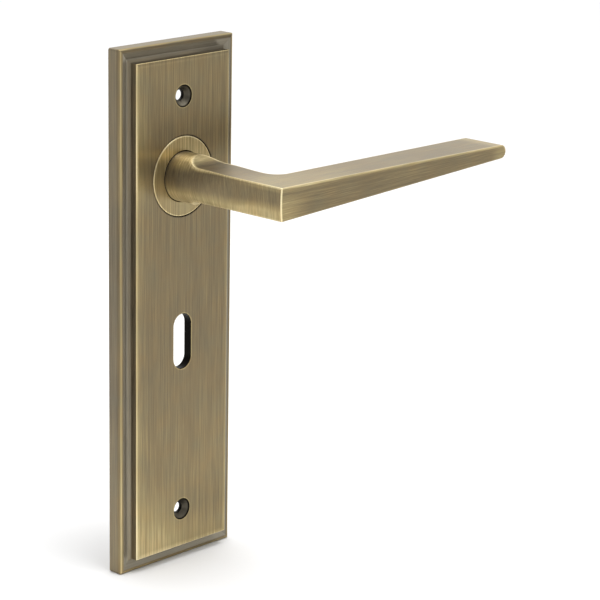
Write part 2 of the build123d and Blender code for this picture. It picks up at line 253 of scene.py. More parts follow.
# ---------------------------------------------------------------- material building
class Finish(Graph):
    """A material in the making. Its lengths are in millimetres."""

    def __init__(self, name, **sockets):
        self.material = bpy.data.materials.new(name)
        self.material.use_nodes = True
        super().__init__(self.material.node_tree)
        self.shader = self.tree.nodes["Principled BSDF"]
        for socket, value in sockets.items():
            self.shader.inputs[socket.replace("_", " ").title()].default_value = value
        scaled = self.add("ShaderNodeVectorMath", operation="SCALE")
        scaled.inputs["Scale"].default_value = 1 / MM
        self.wire(self.add("ShaderNodeTexCoord").outputs["Object"], scaled.inputs[0])
        self.x, y, self.z = self.apart(scaled.outputs[0])
        self.depth = self.times(y, -1)

    def streaks(self, across, along, width, length, seed, detail=2.0):
        """Brush strokes about this wide and long, as a value either side of 0."""
        return self.noise(self.times(across, 1 / width), self.times(along, 1 / length), seed, detail)

    def clouds(self, size, seed, detail=2.0):
        """Soft patches about this large, as a value either side of 0."""
        scaled = [self.times(value, 1 / size) for value in (self.x, self.depth, self.z)]
        return self.noise(scaled[0], self.plus(scaled[1], seed), scaled[2], detail)

    def roughen(self, value):
        self.wire(value, self.shader.inputs["Roughness"])

    def colour(self, value):
        self.wire(value, self.shader.inputs["Base Color"])

    def relief(self, height, distance):
        """Raises the surface by height times this distance."""
        node = self.add("ShaderNodeBump")
        self.wire(height, node.inputs["Height"])
        self.wire(distance * MM, node.inputs["Distance"])
        self.wire(node.outputs[0], self.shader.inputs["Normal"])

    def square_to(self, x, y, z):
        """The direction in the surface that is square to strokes running this way in the piece's frame."""
        turned = self.add(
            "ShaderNodeVectorTransform", vector_type="VECTOR", convert_from="OBJECT", convert_to="WORLD"
        )
        self.wire(self.vector(x, y, z), turned.inputs[0])
        normal = self.add("ShaderNodeNewGeometry").outputs["Normal"]
        return self.join("CROSS_PRODUCT", normal, turned.outputs[0])

    def spread_gloss(self, direction, amount):
        self.wire(direction, self.shader.inputs["Tangent"])
        self.shader.inputs["Anisotropic"].default_value = amount


# ---------------------------------------------------------------- antique brass
# how bare the metal is, from a black-brown tarnish to rubbed brass, and the colour it has there
TARNISH = [
    (0.0, (0.038, 0.028, 0.015)),
    (0.25, (0.150, 0.121, 0.078)),
    (0.5, (0.246, 0.193, 0.108)),
    (0.75, (0.400, 0.318, 0.160)),
    (1.0, (0.740, 0.612, 0.340)),
    (1.3, (0.960, 0.840, 0.530)),
]
BRUSHED_ANISOTROPY = 0.8
# how far each kind of mark changes the bareness, and how far the hue drifts between warm and cool
HAIR_MARK, FINE_MARK, BROAD_MARK, PATCH_MARK, PIT_MARK, HUE_DRIFT = 0.26, 0.30, 0.06, 0.12, 0.22, 0.16
# the bloom's colour, and how strongly the strokes show through it
BLOOM, BLOOM_STROKES = (0.38, 0.345, 0.27), 0.8
# the roughness of full tarnish, and what bareness, strokes and a cast skin add to it
TARNISH_ROUGHNESS, BARE_ROUGHNESS, STROKE_ROUGHNESS, CAST_ROUGHNESS = 0.47, -0.10, 0.30, 0.12
STROKE_RELIEF, PIT_RELIEF = 0.008, 0.05


def antique(f, bare, across, along, strength=1.0, pale=0.0, painted_shade=0.0, rough=0.0, cast=0.0):
    """A brushed antique brass: strokes, patches, colour, roughness and relief.

    Pale is where a grooved part keeps a grey bloom, the painted shade darkens the colour, near black
    on a hole's wall, and cast is where the metal is left as it came from the mould.
    """
    hair = f.streaks(across, along, width=0.15, length=10, seed=1.7)
    fine = f.streaks(across, along, width=0.38, length=34, seed=8.2)
    broad = f.streaks(across, along, width=1.8, length=80, seed=5.3)
    patch = f.clouds(size=24, seed=3.1)
    pits = f.clouds(size=0.7, seed=9.4, detail=3.0)
    brushed = f.minus(1, cast)
    strokes = f.times(f.marked(0, (hair, HAIR_MARK), (fine, FINE_MARK)), strength, brushed)
    cast_pits = f.times(pits, cast)
    level = f.marked(f.plus(bare, strokes), (f.times(broad, brushed), BROAD_MARK), (patch, PATCH_MARK))
    level = f.marked(level, (cast_pits, PIT_MARK))
    drift = f.times(f.clouds(size=7, seed=6.6), HUE_DRIFT)
    tint = f.vector(f.plus(1, drift), 1.0, f.minus(1, drift))
    colour = f.join("MULTIPLY", f.steps(level, TARNISH), tint)
    bloom = f.join("SCALE", BLOOM, f.plus(1, f.times(strokes, BLOOM_STROKES)))
    colour = f.join("ADD", f.join("SCALE", colour, f.minus(1, pale)), f.join("SCALE", bloom, pale))
    # painted shade darkens the colour
    f.colour(f.join("SCALE", colour, f.minus(1, painted_shade)))
    marks = (level, BARE_ROUGHNESS), (strokes, STROKE_ROUGHNESS), (cast, CAST_ROUGHNESS)
    f.roughen(f.marked(f.plus(TARNISH_ROUGHNESS, rough), *marks))
    scratches = f.times(f.plus(hair, fine), STROKE_RELIEF, strength, brushed)
    f.relief(f.marked(scratches, (cast_pits, PIT_RELIEF)), distance=1.0)


# The plate's section, from its back edge round to the panel: widths and depths
PLATE_LOW, PLATE_HIGH = (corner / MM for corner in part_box("face_plate"))
RIM_DEPTH, RIM_ROUND, BAND_FALL, COVE, PANEL_MARGIN, PANEL_ROUND = 5.4, 1.1, 0.85, 1.3, 4.85, 0.35
PANEL_DEPTH, HOLE_WALL = -PLATE_LOW.y, 3.25
# what its holes measure, and the ring that is set in it
FIXING_HEIGHTS, FIXING_R, FIXING_HEAD_R = (27.0, -117.0), 1.8, 3.7
KEYHOLE_HEIGHT, KEYHOLE_R, KEYHOLE_STRAIGHT = -57.0, 4.0, 5.6
RING_R = 13.6

# Along the section both the way in and the depth grow, so their sum, the station, tells its parts
# apart. These are the stations where the rim's round begins, then the cove, the panel's upright
# wall, the round of its edge, and its flat
SHOULDER = RIM_DEPTH - RIM_ROUND
FOOT = PANEL_MARGIN - COVE + RIM_DEPTH - BAND_FALL
WALL = FOOT + 2 * COVE
EDGE = PANEL_MARGIN + PANEL_DEPTH - PANEL_ROUND
PANEL = EDGE + 2 * PANEL_ROUND

# how bare the metal is by station, and along the top, where the rim's bright line is a painted
# highlight, softer and further back
SECTION_WEAR = [
    (0, 0.32),
    (SHOULDER - 0.2, 0.36),
    (SHOULDER + 0.8, 0.50),
    (SHOULDER + 1.5, 0.84),
    (SHOULDER + 2.1, 0.52),
    (SHOULDER + 2.5, 0.42),
    (FOOT, 0.40),
    (FOOT + 1.0, 0.35),
    (WALL - 0.5, 0.30),
    (WALL, 0.26),
    (EDGE - 0.3, 0.28),
    (EDGE, 0.72),
    (EDGE + 0.45, 1.0),
    (PANEL, 0.66),
    (PANEL + 1.4, 0.50),
    (PANEL + 30, 0.48),
]
TOP_RIM_WEAR_AND_HIGHLIGHT = [
    (0, 0.35),
    (SHOULDER - 0.3, 0.40),
    (SHOULDER + 0.4, 0.64),
    (SHOULDER + 0.9, 0.76),
    (SHOULDER + 1.25, 0.50),
    (SHOULDER + 1.6, 0.34),
    (SHOULDER + 2.1, 0.36),
    (SHOULDER + 2.5, 0.42),
]
# where on the section each part of the finish begins and where it is full
RIM_SIDE, TOP_RIM_END = (SHOULDER, SHOULDER - 1), (SHOULDER + 2.6, SHOULDER + 2.5)
RIGHT_START, GROOVE_START = (SHOULDER + 1.8, SHOULDER + 2.4), (SHOULDER + 2.2, SHOULDER + 2.8)
COVE_START, MOULDING_END = (FOOT, FOOT + 1), (WALL, WALL - 0.6)
PANEL_EDGE_START, PANEL_EDGE_END, PANEL_START = (WALL, WALL + 1), (PANEL + 1, PANEL), (EDGE - 0.1, EDGE)
MITRE = (-0.05, 0.05)

# what is added to the bareness as painted light: painted shade across the panel's middle, and a painted
# highlight down its left side, more so beside the ring, along its foot and at its lower left corner
WAIST_SHADE, LEFT_HIGHLIGHT, BESIDE_RING_HIGHLIGHT, FOOT_HIGHLIGHT, CORNER_HIGHLIGHT = -0.08, 0.05, 0.13, 0.12, 0.28
# and a painted highlight on the rim's lower left corner, and painted shade on the panel's upper edge
RIM_CORNER_HIGHLIGHT, TOP_EDGE_SHADE = 0.10, -0.2
# where each of those begins and where it is full: along x, along z, or out from the corner
WAIST_BELOW, WAIST_ABOVE = (5, -20), (-105, -60)
LEFT_X, RING_ABOVE, RING_BELOW = (-13.5, -20), (-12, 2), (34, 14)
FOOT_Z, FOOT_X, CORNER_R = (PLATE_LOW.z + 19, PLATE_LOW.z + 8), (-22, -6), (40, 8)
TOP_Z = (0, 20)

# how bare the holes' rubbed rims are, their walls, the seat beside the ring, and the back as cast
HOLE_RIM_BARE, HOLE_WALL_BARE, SEAT_BARE, CAST_BARE = 0.74, 0.1, 0.30, 0.30
# how far painted shade darkens the colour in the holes, how much less in their cones, and how far it
# darkens the gap round the ring and the moulding's right
HOLE_SHADE, CONE_RAISED, GAP_SHADE, RIGHT_SHADE = 0.96, 0.5, 0.5, 0.28
# distances out from a hole's or the seat's edge, where each begins and where it is full
HOLE_RIM, HOLE_INSIDE, SEAT_SIDE, SEAT_GAP = (0.6, 0.15), (0.14, 0.05), (0.7, 0.3), (0.28, 0.22)
# the holes' walls by depth, and the cones by their distance out from a screw hole's centre
HOLE_DEPTH = (PANEL_DEPTH - HOLE_WALL + 0.02, PANEL_DEPTH - HOLE_WALL + 0.06)
CONE_START, CONE_END = (FIXING_R + 0.05, FIXING_R + 0.2), (FIXING_HEAD_R - 0.1, FIXING_HEAD_R - 0.5)
# how strong the bloom is in the countersinks, on the rim's side and on the back as cast, and then on
# the band and in the cove, which have their own values along the top and at the cove's lower end
CONE_BLOOM, SIDE_BLOOM, CAST_BLOOM = 0.6, 0.19, 0.22
BAND_BLOOM, TOP_BAND_BLOOM, COVE_BLOOM, LOW_COVE_BLOOM, TOP_COVE_BLOOM = 1.0, 0.8, 0.22, 0.5, 0.35
COVE_RISE = (-110, -40)
# where the moulding has painted shade, down its right side and along its top towards the right
RIGHT_SIDE_X, RIGHT_TOP_X = (18, 19), (4, 22)
# the back's border and its deeper hollow: the way in, and the depth below which each is as cast
BORDER_IN, BORDER_DEPTH, HOLLOW_IN, HOLLOW_DEPTH = (2.3, 2.4), (2.8, 2.7), (7.0, 7.1), (5.9, 5.8)
PLATE_STROKES, CONE_ROUGHNESS = 1.6, 0.15


def plate_section(f):
    """Each point's station and way in, and where an end of the plate is nearer than a side."""
    half_height = (PLATE_HIGH.z - PLATE_LOW.z) / 2
    middle = (PLATE_HIGH.z + PLATE_LOW.z) / 2
    from_side = f.minus(PLATE_HIGH.x, f.size(f.x))
    from_end = f.minus(half_height, f.size(f.minus(f.z, middle)))
    inward = f.least(from_side, from_end)
    crosswise = f.fade(f.minus(from_side, from_end), *MITRE)
    return f.plus(inward, f.depth), inward, crosswise


def plate_wear_and_painted_light(f, station, topmost, on_panel):
    """How bare the plate is, apart from its holes and its back, with painted highlights and painted shade.
    """
    # along the top the rim takes the painted highlight's ramp
    top_rim = f.times(topmost, f.fade(station, *TOP_RIM_END))
    bare = f.mix(top_rim, f.steps(station, SECTION_WEAR), f.steps(station, TOP_RIM_WEAR_AND_HIGHLIGHT))
    # painted shade across the middle; painted highlights at the lower left, beside the ring and along the
    # foot
    waist_shade = f.times(f.fade(f.z, *WAIST_BELOW), f.fade(f.z, *WAIST_ABOVE), WAIST_SHADE)
    from_corner = f.radius(f.plus(f.x, PLATE_HIGH.x), f.minus(f.z, PLATE_LOW.z))
    corner = f.times(f.fade(from_corner, *CORNER_R), f.mix(on_panel, RIM_CORNER_HIGHLIGHT, CORNER_HIGHLIGHT))
    beside_ring_highlight = f.times(f.fade(f.z, *RING_ABOVE), f.fade(f.z, *RING_BELOW), BESIDE_RING_HIGHLIGHT)
    left = f.times(f.fade(f.x, *LEFT_X), f.plus(LEFT_HIGHLIGHT, beside_ring_highlight))
    foot_highlight = f.times(f.fade(f.z, *FOOT_Z), f.fade(f.x, *FOOT_X), FOOT_HIGHLIGHT)
    panel_edge = f.times(f.fade(station, *PANEL_EDGE_START), f.fade(station, *PANEL_EDGE_END))
    painted_light = f.plus(corner, f.times(on_panel, f.plus(left, foot_highlight)))
    # painted shade dulls the panel's upper edge
    return f.plus(bare, waist_shade, painted_light, f.times(topmost, panel_edge, TOP_EDGE_SHADE))


def plate_holes(f):
    """The holes' rubbed rims, their insides, and the cones of the countersinks."""
    fixing = f.least(*[f.radius(f.x, f.minus(f.z, height)) for height in FIXING_HEIGHTS])
    above = f.most(f.minus(f.size(f.minus(f.z, KEYHOLE_HEIGHT)), KEYHOLE_STRAIGHT), 0)
    key = f.radius(f.x, above)
    reach = f.least(f.minus(fixing, FIXING_HEAD_R), f.minus(key, KEYHOLE_R))
    in_front = f.fade(f.depth, *HOLE_DEPTH)
    rim, inside = (f.times(in_front, f.fade(reach, *ends)) for ends in (HOLE_RIM, HOLE_INSIDE))
    cone = f.times(f.fade(fixing, *CONE_START), f.fade(fixing, *CONE_END), in_front)
    return rim, inside, cone


def plate_finish():
    f = Finish("antique_brass_plate", metallic=1.0)
    station, inward, crosswise = plate_section(f)
    on_panel = f.fade(station, *PANEL_START)
    topmost = f.times(crosswise, f.fade(f.z, *TOP_Z))
    bare = plate_wear_and_painted_light(f, station, topmost, on_panel)
    # holes: painted shade darkens their insides, with a thin rubbed rim
    rim, inside, cone = plate_holes(f)
    bare = f.mix(inside, f.mix(rim, bare, HOLE_RIM_BARE), HOLE_WALL_BARE)
    painted_shade = f.times(inside, f.minus(HOLE_SHADE, f.times(cone, CONE_RAISED)))
    # the seat of the ring, and the painted shade of the gap beside it
    seat = f.minus(f.radius(f.x, f.z), RING_R)
    bare = f.mix(f.fade(seat, *SEAT_SIDE), bare, SEAT_BARE)
    painted_shade = f.most(painted_shade, f.times(f.fade(seat, *SEAT_GAP), GAP_SHADE))
    # the moulding keeps a grey bloom, and has painted shade on the right
    moulding = f.fade(station, *MOULDING_END)
    grooved = f.times(f.fade(station, *GROOVE_START), moulding)
    on_cove = f.mix(topmost, f.mix(f.fade(f.z, *COVE_RISE), LOW_COVE_BLOOM, COVE_BLOOM), TOP_COVE_BLOOM)
    on_band = f.mix(topmost, BAND_BLOOM, TOP_BAND_BLOOM)
    bloom = f.times(grooved, f.mix(f.fade(station, *COVE_START), on_band, on_cove))
    beside = f.times(f.fade(station, *RIM_SIDE), SIDE_BLOOM)
    pale = f.plus(bloom, f.times(cone, CONE_BLOOM), beside)
    right_of_top = f.times(f.fade(f.x, *RIGHT_TOP_X), f.fade(f.z, *TOP_Z))
    rightmost = f.times(f.mix(crosswise, f.fade(f.x, *RIGHT_SIDE_X), right_of_top), moulding)
    painted_shade = f.plus(painted_shade, f.times(rightmost, f.fade(station, *RIGHT_START), RIGHT_SHADE))
    # behind, the hollow is left as cast
    border = f.times(f.fade(inward, *BORDER_IN), f.fade(f.depth, *BORDER_DEPTH))
    hollow = f.times(f.fade(inward, *HOLLOW_IN), f.fade(f.depth, *HOLLOW_DEPTH))
    cast = f.times(f.most(border, hollow), f.minus(1, inside))
    bare = f.mix(cast, bare, CAST_BARE)
    pale = f.mix(cast, pale, CAST_BLOOM)
    # strokes run up the panel, and along each side of the rim
    level_run = f.times(crosswise, f.minus(1, on_panel))
    across = f.mix(level_run, f.plus(f.x, f.depth), f.plus(f.z, f.depth))
    along = f.mix(level_run, f.z, f.x)
    antique(f, bare, across, along, PLATE_STROKES, pale, painted_shade, f.times(cone, CONE_ROUGHNESS), cast)
    f.spread_gloss(f.square_to(level_run, 0, f.minus(1, level_run)), BRUSHED_ANISOTROPY)
    return f.material


# how bare the ring is, out from its axis: its recess, its bright inner corner, its face and its edge
RING_WEAR = [(8.2, 0.1), (8.6, 0.3), (8.8, 0.74), (9.1, 0.68), (13.05, 0.67), (13.3, 0.98), (13.65, 0.85)]
# a painted highlight on the ring's upper half and painted shade on its lower half
RING_UPPER_Z, RING_UPPER_HIGHLIGHT, RING_LOWER_Z, RING_LOWER_SHADE = (-2, 9), 0.14, (2, -6), -0.04
RING_BODY_BARE, RING_BODY_DEPTH = 0.05, (PANEL_DEPTH - 0.5, PANEL_DEPTH - 0.7)
RING_STROKES, RING_RECESS = 1.9, (8.68, 8.62)


def ring_finish():
    f = Finish("antique_brass_ring", metallic=1.0)
    out = f.radius(f.x, f.z)
    # painted highlight above, painted shade below
    upper = f.times(f.fade(f.z, *RING_UPPER_Z), RING_UPPER_HIGHLIGHT)
    lower = f.times(f.fade(f.z, *RING_LOWER_Z), RING_LOWER_SHADE)
    bare = f.plus(f.steps(out, RING_WEAR), upper, lower)
    bare = f.mix(f.fade(f.depth, *RING_BODY_DEPTH), bare, RING_BODY_BARE)
    # painted shade blackens the recess round the neck's root
    antique(f, bare, f.x, f.z, RING_STROKES, painted_shade=f.fade(out, *RING_RECESS))
    f.spread_gloss(f.square_to(0, 0, 1), BRUSHED_ANISOTROPY)
    return f.material


# The lever in its own directions: u along the arm, v up, and the depth out from the door
LIFT = radians(0.72)
NECK_R, NECK_FLAT, FLAT_START, RUN_OUT_R = 8.4, 5.7, 22.0, 9.7
NECK_ROUND_END, NECK_SQUARE_START = 24.0, 38.0
LEVER_FRONT = -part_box("lever_handle")[0].y / MM
ELBOW_SIDE, ELBOW_HALF = 6.8, 6.5
ARM_HALF_HEIGHT, ARM_SLOPE, ARM_END, TIP_R = 5.55, 0.0286, 106.5, 2.39
ARM_BACK, ARM_BACK_SLOPE, INSIDE_R = 44.8, 0.02066, 5.0
# where the arm takes over from the neck, as a share of the way over the elbow's diagonal
ARM_START = (0.97, 1.03)

# an edge is rubbed bare up to its core, and the wear ends a little way off, further where the flats
# leave the round root than on the neck and the arm
EDGE_CORE, ROOT_EDGE, NECK_EDGE, ARM_EDGE = 0.16, 1.3, 0.75, 1.0
ELBOW_EDGE = (0.55, 0.22)
EDGES_BEGIN, EDGES_CRISPEN, ARM_EDGE_U = (14.2, 15.2), (21, 32), (-4, 4)
# how much painted shade dulls the lower edges, and more so at the front
LOWER_V, LOWER_EDGE_SHADE, AT_FRONT, FRONT_EDGE_SHADE = (0.5, -0.5), 0.4, (1.0, 0.3), 0.8
# how bare the edges are, and how much more so near the elbow and the root
EDGE_BARE, ELBOW_EDGE_BARE, NEAR_ELBOW_WEAR, NEAR_ROOT_WEAR = 0.90, 1.25, 0.18, 0.16
NEAR_ELBOW, NEAR_ROOT = (30, 5), (30, 20)

# how bare the lever is, and what is added: a painted highlight on the neck's underside and where its
# flats start, painted shade above its middle, more on the arm's front near the elbow, a painted
# highlight on its top, and more at the tip
LEVER_BARE, UNDER_HIGHLIGHT_ADDED, START_HIGHLIGHT_ADDED, PAINTED_SHADE_ADDED = 0.47, 0.42, 0.32, -0.10
FRONT_ADDED, TOP_HIGHLIGHT_ADDED, TIP_ADDED = 0.26, 0.16, 0.20
# how strong the painted highlight on the neck's underside is by depth, where it begins and is full, and
# how far it rises
UNDER_HIGHLIGHT_BY_DEPTH = [(8, 0.85), (22, 0.85), (34, 0.68), (42, 0.95), (56, 0.85)]
UNDER_V, UNDER_RISE_DEPTH, UNDER_RISE = (-0.2, -4.2), (36, 50), 1.2
# where the others begin and are full, by depth, along u and along v
START_NEAR, START_FAR, START_V = (8, 13), (20.5, 17), (3.0, 6.0)
SHADE_V, SHADE_DEPTH = (-1.5, 1.5), (40, 16)
FRONT_U, FRONT_V = (10, -6), (5, 0)
TOP_V, TOP_DEPTH, TOP_U, TIP_U = (3.4, 4.6), (36, 50), (50, 0), (ARM_END - 9, ARM_END - 3)
# how many times shorter the strokes are than the plate's, how they bow and lean round the neck, and
# how strong they are on the lever and on its underside
NECK_STROKES, ARM_STROKES, STROKE_BOW, STROKE_LEAN = 4.0, 1.5, 0.015, 0.06
STROKE_STRENGTH, UNDER_STRENGTH, UNDER_ROUGHNESS = 1.5, 0.9, 0.12


def lever_edges(f, u, v):
    """Where the long edges and the elbow are rubbed bright: 1 on an edge, 0 a little way off it."""
    height = f.size(v)
    # the neck's flats, which run out into the round root, and the arm's sloping top
    to_flat = f.most(f.minus(FLAT_START, f.depth), 0)
    under_root = f.most(f.minus(RUN_OUT_R**2, f.times(to_flat, to_flat)), 0)
    flat = f.minus(NECK_FLAT + RUN_OUT_R, f.do("SQRT", under_root))
    arm_height = f.minus(ARM_HALF_HEIGHT, f.times(f.plus(u, ELBOW_HALF), ARM_SLOPE))
    eased = f.fade(f.depth, NECK_ROUND_END, NECK_SQUARE_START)
    top = f.mix(eased, flat, arm_height)
    tip_centre = ARM_END - TIP_R
    from_tip = f.minus(TIP_R, f.radius(f.minus(u, tip_centre), v))
    below_top = f.mix(f.fade(u, tip_centre - 0.1, tip_centre), f.minus(top, height), from_tip)
    # the sides: flat width, and the bow that stands out of it halfway up
    half = f.do("SQRT", f.most(f.minus(NECK_R**2, f.times(top, top)), 0))
    half = f.mix(eased, half, ELBOW_HALF)
    bow = f.mix(eased, f.minus(NECK_R, half), ELBOW_SIDE - ELBOW_HALF)
    up = f.do("DIVIDE", height, f.most(top, 1))
    side = f.plus(half, f.times(bow, f.minus(1, f.times(up, up))))
    from_left = f.plus(u, side)
    behind_front = f.minus(LEVER_FRONT, f.depth)
    # the right side of the neck and the back of the arm, joined by the rounded inside corner
    aside = f.most(f.minus(f.plus(side, INSIDE_R), u), 0)
    level_depth = f.plus(f.depth, f.times(u, ARM_BACK_SLOPE))
    ahead = f.most(f.minus(level_depth, ARM_BACK - INSIDE_R), 0)
    from_inside = f.minus(f.radius(aside, ahead), INSIDE_R)
    outline = f.least(f.least(behind_front, from_left), from_inside)
    further_out = f.mix(f.fade(u, *ARM_EDGE_U), NECK_EDGE, ARM_EDGE)
    softness = f.mix(f.fade(f.depth, *EDGES_CRISPEN), ROOT_EDGE, further_out)
    # painted shade dulls the lower edges, more at the front
    edge_shade = f.mix(f.fade(behind_front, *AT_FRONT), LOWER_EDGE_SHADE, FRONT_EDGE_SHADE)
    lower = f.minus(1, f.times(f.fade(v, *LOWER_V), edge_shade))
    from_edge = f.most(below_top, outline)
    long_edges = f.times(f.fade(from_edge, softness, EDGE_CORE), f.fade(f.depth, *EDGES_BEGIN), lower)
    elbow = f.fade(f.most(from_left, behind_front), *ELBOW_EDGE)
    return long_edges, elbow


def lever_finish():
    f = Finish("antique_brass_lever", metallic=1.0)
    u = f.plus(f.times(f.x, cos(LIFT)), f.times(f.z, sin(LIFT)))
    v = f.minus(f.times(f.z, cos(LIFT)), f.times(f.x, sin(LIFT)))
    long_edges, elbow = lever_edges(f, u, v)
    # the neck's sides and the arm's front meet on the elbow's diagonal
    diagonal = f.plus(
        f.times(f.plus(u, ELBOW_SIDE), 1 / (2 * ELBOW_SIDE)),
        f.times(f.minus(f.depth, ARM_BACK), 1 / (LEVER_FRONT - ARM_BACK)),
    )
    on_arm = f.fade(diagonal, *ARM_START)
    on_neck = f.minus(1, on_arm)
    # the neck gets a painted highlight underneath and where its flats begin, and painted shade above its
    # middle
    lowness = f.minus(v, f.times(f.fade(f.depth, *UNDER_RISE_DEPTH), UNDER_RISE))
    underside_highlight = f.times(f.fade(lowness, *UNDER_V), on_neck, f.steps(f.depth, UNDER_HIGHLIGHT_BY_DEPTH))
    start = f.times(f.fade(f.depth, *START_NEAR), f.fade(f.depth, *START_FAR), f.fade(v, *START_V))
    shade = f.times(f.fade(v, *SHADE_V), f.fade(f.depth, *SHADE_DEPTH), f.minus(1, start), on_neck)
    on_front = f.times(on_arm, f.fade(u, *FRONT_U), f.fade(v, *FRONT_V))
    # a painted highlight along the top of the arm
    top_highlight = f.times(f.fade(v, *TOP_V), f.fade(f.depth, *TOP_DEPTH), f.fade(u, *TOP_U))
    bare = f.plus(
        LEVER_BARE,
        f.times(underside_highlight, UNDER_HIGHLIGHT_ADDED),
        f.times(start, START_HIGHLIGHT_ADDED),
        f.times(shade, PAINTED_SHADE_ADDED),
        f.times(on_front, FRONT_ADDED),
        f.times(top_highlight, TOP_HIGHLIGHT_ADDED),
        f.times(f.fade(u, *TIP_U), TIP_ADDED),
    )
    from_elbow = f.radius(f.plus(u, ELBOW_SIDE), f.minus(LEVER_FRONT, f.depth))
    near_elbow = f.times(f.fade(from_elbow, *NEAR_ELBOW), NEAR_ELBOW_WEAR)
    near_root = f.times(f.fade(f.depth, *NEAR_ROOT), NEAR_ROOT_WEAR)
    bare = f.mix(long_edges, bare, f.plus(EDGE_BARE, near_elbow, near_root))
    bare = f.mix(elbow, bare, ELBOW_EDGE_BARE)
    # strokes run round the neck, short and slightly askew, and along the arm
    bowed = f.plus(f.depth, f.times(v, v, STROKE_BOW), f.times(v, STROKE_LEAN))
    across = f.mix(on_arm, bowed, f.minus(v, f.depth))
    along = f.mix(on_arm, f.times(f.plus(u, v), NECK_STROKES), f.times(u, ARM_STROKES))
    strength = f.mix(underside_highlight, STROKE_STRENGTH, UNDER_STRENGTH)
    antique(f, bare, across, along, strength, rough=f.times(underside_highlight, UNDER_ROUGHNESS))
    arm_gloss = f.join("SCALE", f.square_to(cos(LIFT), 0, sin(LIFT)), on_arm)
    neck_gloss = f.join("SCALE", (0, 1, 0), on_neck)
    f.spread_gloss(f.join("ADD", arm_gloss, neck_gloss), BRUSHED_ANISOTROPY)
    return f.material


# ---------------------------------------------------------------- the works
# the cover screws stand on a square of this pitch, and their heads darken at the centre and the edge
SCREW_PITCH = 30.4
SCREW_SHADES = [(0.0, 0.35), (0.9, 0.5), (1.1, 0.8), (1.6, 0.8), (1.82, 0.25)]
SCREW_DARK, SCREW_LIGHT = (0.05, 0.045, 0.03), (0.50, 0.45, 0.31)

ZINC_PLATE, BRIGHT_STEEL, BLUED_STEEL = (0.52, 0.525, 0.52), (0.44, 0.435, 0.43), (0.30, 0.29, 0.30)
ZINC_CASTING, NYLON, RUBBER = (0.42, 0.43, 0.44), (0.72, 0.70, 0.64), (0.022, 0.022, 0.024)
WIRE_DARK, WIRE_LIGHT = (0.09, 0.08, 0.075), (0.26, 0.25, 0.245)
# the thrust washer's edge gets painted shade beyond this radius, over this width, and this black
PAINTED_SHADE_FROM, PAINTED_SHADE_WIDTH, PAINTED_SHADE_DARK = 7.8, 0.3, 0.97


def mottled(f, dark, light, *marks):
    """A colour between the dark and the light one, moved about their middle by the marks."""
    return f.steps(f.marked(0.5, *marks), [(0.2, dark), (0.8, light)])


def darker(colour, share):
    return tuple(share * channel for channel in colour)


def steel(name, colour, roughness, made):
    """Steel with the fine lines of how it was made, turned, drawn or rolled, and a faint mottle."""
    f = Finish(name, metallic=1.0)
    across, along = {
        "turned": (f.radius(f.x, f.z), f.depth),
        "drawn": (f.plus(f.x, f.z), f.depth),
        "rolled": (f.plus(f.x, f.depth), f.z),
    }[made]
    hair = f.streaks(across, along, width=0.10, length=6.0, seed=2.2)
    fine = f.streaks(across, along, width=0.40, length=15.0, seed=4.6)
    mottle = f.clouds(size=2.6, seed=7.7, detail=3.0)
    f.colour(mottled(f, darker(colour, 0.66), colour, (hair, 0.35), (fine, 0.45), (mottle, 0.5)))
    f.roughen(f.marked(roughness, (mottle, 0.25), (fine, 0.2)))
    f.relief(f.plus(hair, fine), distance=0.008)
    return f.material


def screw_heads():
    """Yellow-passivated zinc, turned about each of the four screws, with a dark edge and a dark cross."""
    f = Finish("passivated_screws", metallic=1.0)
    offset = SCREW_PITCH / 2
    out = f.radius(f.minus(f.size(f.x), offset), f.minus(f.size(f.z), offset))
    rings = f.streaks(out, f.depth, width=0.12, length=4.0, seed=5.1)
    mottle = f.clouds(size=0.9, seed=3.6, detail=3.0)
    shade = f.marked(f.steps(out, SCREW_SHADES), (rings, 0.25), (mottle, 0.4))
    f.colour(f.steps(shade, [(0.0, SCREW_DARK), (1.0, SCREW_LIGHT)]))
    f.roughen(f.marked(0.36, (mottle, 0.3)))
    f.relief(rings, distance=0.008)
    return f.material


def cast_metal(name, colour):
    """A casting's grey skin: fine pits and soft patches."""
    f = Finish(name, metallic=0.85)
    pits = f.clouds(size=0.5, seed=1.4, detail=3.0)
    patch = f.clouds(size=9, seed=4.2)
    f.colour(mottled(f, darker(colour, 0.6), colour, (pits, 0.7), (patch, 0.5)))
    f.roughen(f.marked(0.52, (pits, 0.3)))
    f.relief(pits, distance=0.04)
    return f.material


def moulded(name, colour, roughness, grain, painted_edge_shade=False):
    """Nylon or rubber with a fine moulded grain, blackened by painted shade at its edge when asked."""
    f = Finish(name, metallic=0.0)
    speck = f.clouds(size=grain, seed=6.1, detail=3.0)
    patch = f.clouds(size=6, seed=2.4)
    tone = mottled(f, darker(colour, 0.8), colour, (speck, 0.5), (patch, 0.6))
    if painted_edge_shade:
        # painted shade blackens the edge
        black = f.fade(f.radius(f.x, f.z), PAINTED_SHADE_FROM, PAINTED_SHADE_FROM + PAINTED_SHADE_WIDTH)
        tone = f.join("SCALE", tone, f.minus(1, f.times(black, PAINTED_SHADE_DARK)))
    f.colour(tone)
    f.roughen(f.marked(roughness, (speck, 0.2)))
    f.relief(speck, distance=0.01)
    return f.material


def drawn_wire():
    """Oil-tempered spring wire: die lines along it, over a dark blue-brown skin."""
    f = Finish("spring_wire", metallic=1.0)
    out = f.radius(f.x, f.z)
    lines = f.streaks(f.plus(out, f.depth), f.plus(f.x, f.z), width=0.07, length=14, seed=3.3)
    skin = f.clouds(size=2.5, seed=8.4, detail=3.0)
    f.colour(mottled(f, WIRE_DARK, WIRE_LIGHT, (lines, 0.5), (skin, 0.5)))
    f.roughen(f.marked(0.34, (skin, 0.2)))
    f.relief(lines, distance=0.006)
    return f.material


